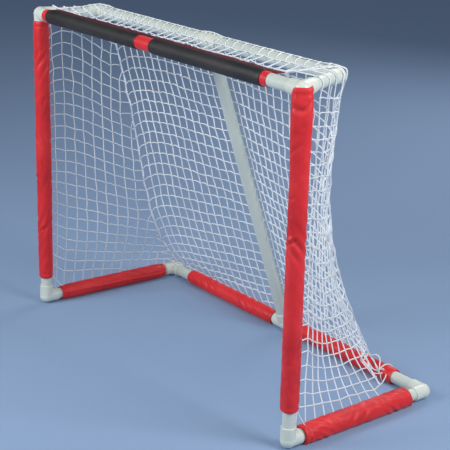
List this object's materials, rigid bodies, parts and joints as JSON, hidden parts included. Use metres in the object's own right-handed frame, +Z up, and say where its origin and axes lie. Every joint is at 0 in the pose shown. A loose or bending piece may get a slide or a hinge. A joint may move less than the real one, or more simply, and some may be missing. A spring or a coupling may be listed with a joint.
{
  "type": "hockey goal net",
  "caption": "Free-standing street hockey goal: push-fit plastic pipe frame with padded fabric sleeves on its bars, a leaning centre post at the back and a knotted net over sides, back and top.",
  "frame": {"origin": "middle of the goal's footprint, on the floor", "axes": "+X along the mouth to the right as seen by a player facing the mouth, +Y from the mouth back into the net, +Z up"},
  "size_m": [1.538, 0.6579, 1.1698],
  "materials": {
    "pvc_pipe": "semi-gloss white",
    "pvc_fitting": "semi-gloss white, moulded",
    "red_fabric": "coated woven nylon with a soft sheen",
    "black_fabric": "coated woven nylon, matte",
    "net_twine": "braided twine",
    "seam_cord": "braided cord"
  },
  "bodies": {
    "root": {"left_post_pipe": "pvc_pipe", "right_post_pipe": "pvc_pipe", "crossbar_pipe": "pvc_pipe", "left_top_pipe": "pvc_pipe", "right_top_pipe": "pvc_pipe", "rear_top_pipe_left": "pvc_pipe", "rear_top_pipe_right": "pvc_pipe", "left_base_pipe": "pvc_pipe", "right_base_pipe": "pvc_pipe", "rear_base_pipe_left": "pvc_pipe", "rear_base_pipe_right": "pvc_pipe", "centre_post_pipe": "pvc_pipe", "top_left_corner": "pvc_fitting", "top_right_corner": "pvc_fitting", "top_rear_left_elbow": "pvc_fitting", "top_rear_right_elbow": "pvc_fitting", "base_front_left_elbow": "pvc_fitting", "base_front_right_elbow": "pvc_fitting", "base_rear_left_elbow": "pvc_fitting", "base_rear_right_elbow": "pvc_fitting", "rear_top_tee": "pvc_fitting", "rear_base_tee": "pvc_fitting", "left_post_sleeve": "red_fabric", "right_post_sleeve": "red_fabric", "crossbar_sleeve": "red_fabric", "crossbar_flap": "red_fabric", "crossbar_panel_left": "black_fabric", "crossbar_panel_right": "black_fabric", "left_base_sleeve": "red_fabric", "right_base_sleeve": "red_fabric", "rear_base_sleeve_left": "red_fabric", "rear_base_sleeve_right": "red_fabric", "back_net": "net_twine", "top_net": "net_twine", "left_side_net": "net_twine", "right_side_net": "net_twine", "left_seam_cord": "seam_cord", "right_seam_cord": "seam_cord", "left_top_cord": "seam_cord", "right_top_cord": "seam_cord"}
  },
  "joints": []
}
